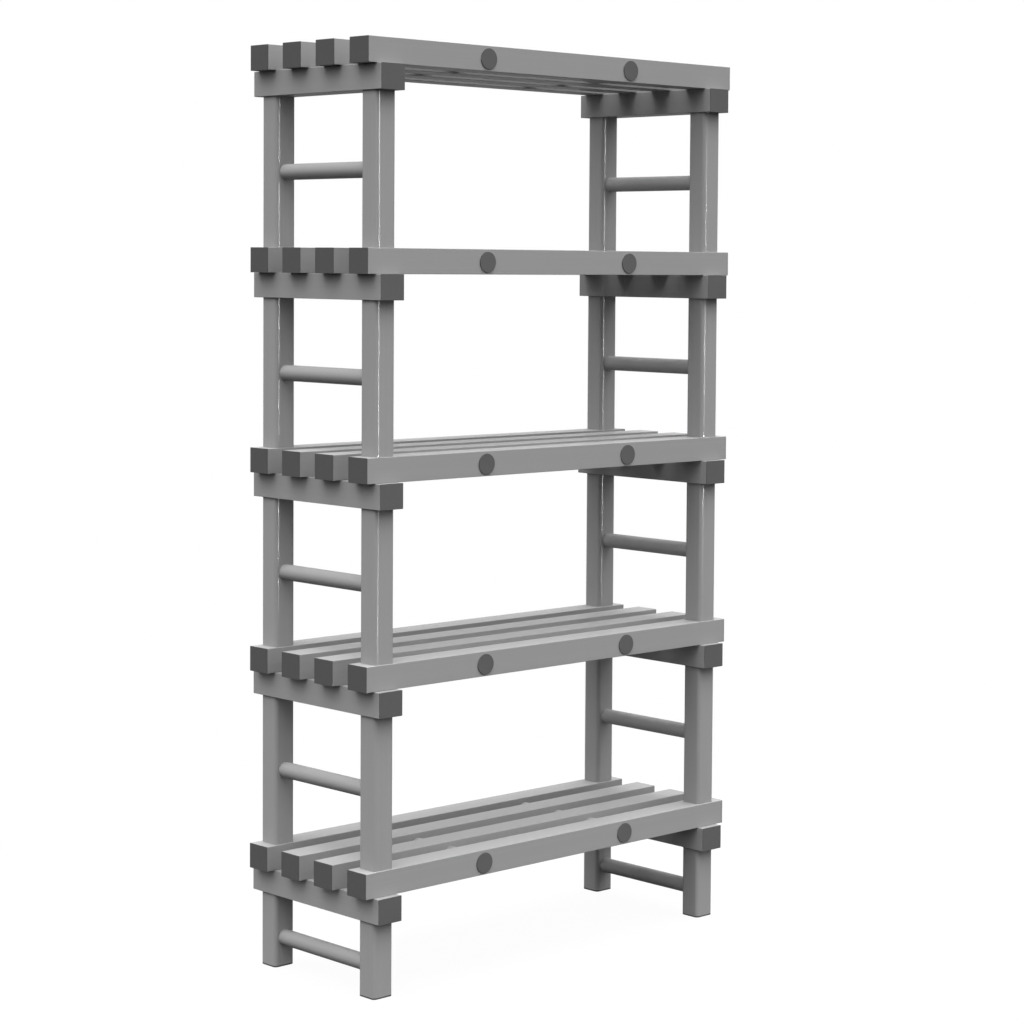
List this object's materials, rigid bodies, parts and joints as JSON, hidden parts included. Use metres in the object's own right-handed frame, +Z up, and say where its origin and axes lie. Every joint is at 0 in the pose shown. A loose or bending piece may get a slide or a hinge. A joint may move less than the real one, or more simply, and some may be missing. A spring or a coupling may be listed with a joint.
{
  "type": "plastic shelving unit",
  "caption": "Free-standing open shelving unit in grey plastic: slatted shelves on cross beams, carried by square posts that plug together, with round rungs at both ends.",
  "frame": {"origin": "on the floor, midway between the four legs", "axes": "+X along the shelves, to the right as seen from the front; +Y from front to rear; +Z up. It is the same seen from the rear, so either long side may be the front"},
  "size_m": [1, 0.4, 1.85],
  "materials": {
    "grey_pvc": "mid-grey extruded plastic, semi-gloss with faint lines along the extrusion",
    "dark_cap": "dark grey injection-moulded plastic, satin"
  },
  "bodies": {
    "root": {"shelf1_slat_front": "grey_pvc", "shelf1_slat_mid_front": "grey_pvc", "shelf1_slat_mid_rear": "grey_pvc", "shelf1_slat_rear": "grey_pvc", "shelf2_slat_front": "grey_pvc", "shelf2_slat_mid_front": "grey_pvc", "shelf2_slat_mid_rear": "grey_pvc", "shelf2_slat_rear": "grey_pvc", "shelf3_slat_front": "grey_pvc", "shelf3_slat_mid_front": "grey_pvc", "shelf3_slat_mid_rear": "grey_pvc", "shelf3_slat_rear": "grey_pvc", "shelf4_slat_front": "grey_pvc", "shelf4_slat_mid_front": "grey_pvc", "shelf4_slat_mid_rear": "grey_pvc", "shelf4_slat_rear": "grey_pvc", "shelf5_slat_front": "grey_pvc", "shelf5_slat_mid_front": "grey_pvc", "shelf5_slat_mid_rear": "grey_pvc", "shelf5_slat_rear": "grey_pvc", "shelf1_beam_left": "grey_pvc", "shelf1_beam_right": "grey_pvc", "shelf2_beam_left": "grey_pvc", "shelf2_beam_right": "grey_pvc", "shelf3_beam_left": "grey_pvc", "shelf3_beam_right": "grey_pvc", "shelf4_beam_left": "grey_pvc", "shelf4_beam_right": "grey_pvc", "shelf5_beam_left": "grey_pvc", "shelf5_beam_right": "grey_pvc", "leg_front_left": "grey_pvc", "leg_front_right": "grey_pvc", "leg_rear_left": "grey_pvc", "leg_rear_right": "grey_pvc", "bay1_post_front_left": "grey_pvc", "bay1_post_front_right": "grey_pvc", "bay1_post_rear_left": "grey_pvc", "bay1_post_rear_right": "grey_pvc", "bay2_post_front_left": "grey_pvc", "bay2_post_front_right": "grey_pvc", "bay2_post_rear_left": "grey_pvc", "bay2_post_rear_right": "grey_pvc", "bay3_post_front_left": "grey_pvc", "bay3_post_front_right": "grey_pvc", "bay3_post_rear_left": "grey_pvc", "bay3_post_rear_right": "grey_pvc", "bay4_post_front_left": "grey_pvc", "bay4_post_front_right": "grey_pvc", "bay4_post_rear_left": "grey_pvc", "bay4_post_rear_right": "grey_pvc", "rungs_left": "grey_pvc", "rungs_right": "grey_pvc", "tie_tubes": "grey_pvc", "post_connectors": "dark_cap", "slat_caps_left": "dark_cap", "slat_caps_right": "dark_cap", "beam_caps_front": "dark_cap", "beam_caps_rear": "dark_cap", "tie_tube_caps": "dark_cap", "foot_plugs": "dark_cap"}
  },
  "joints": []
}
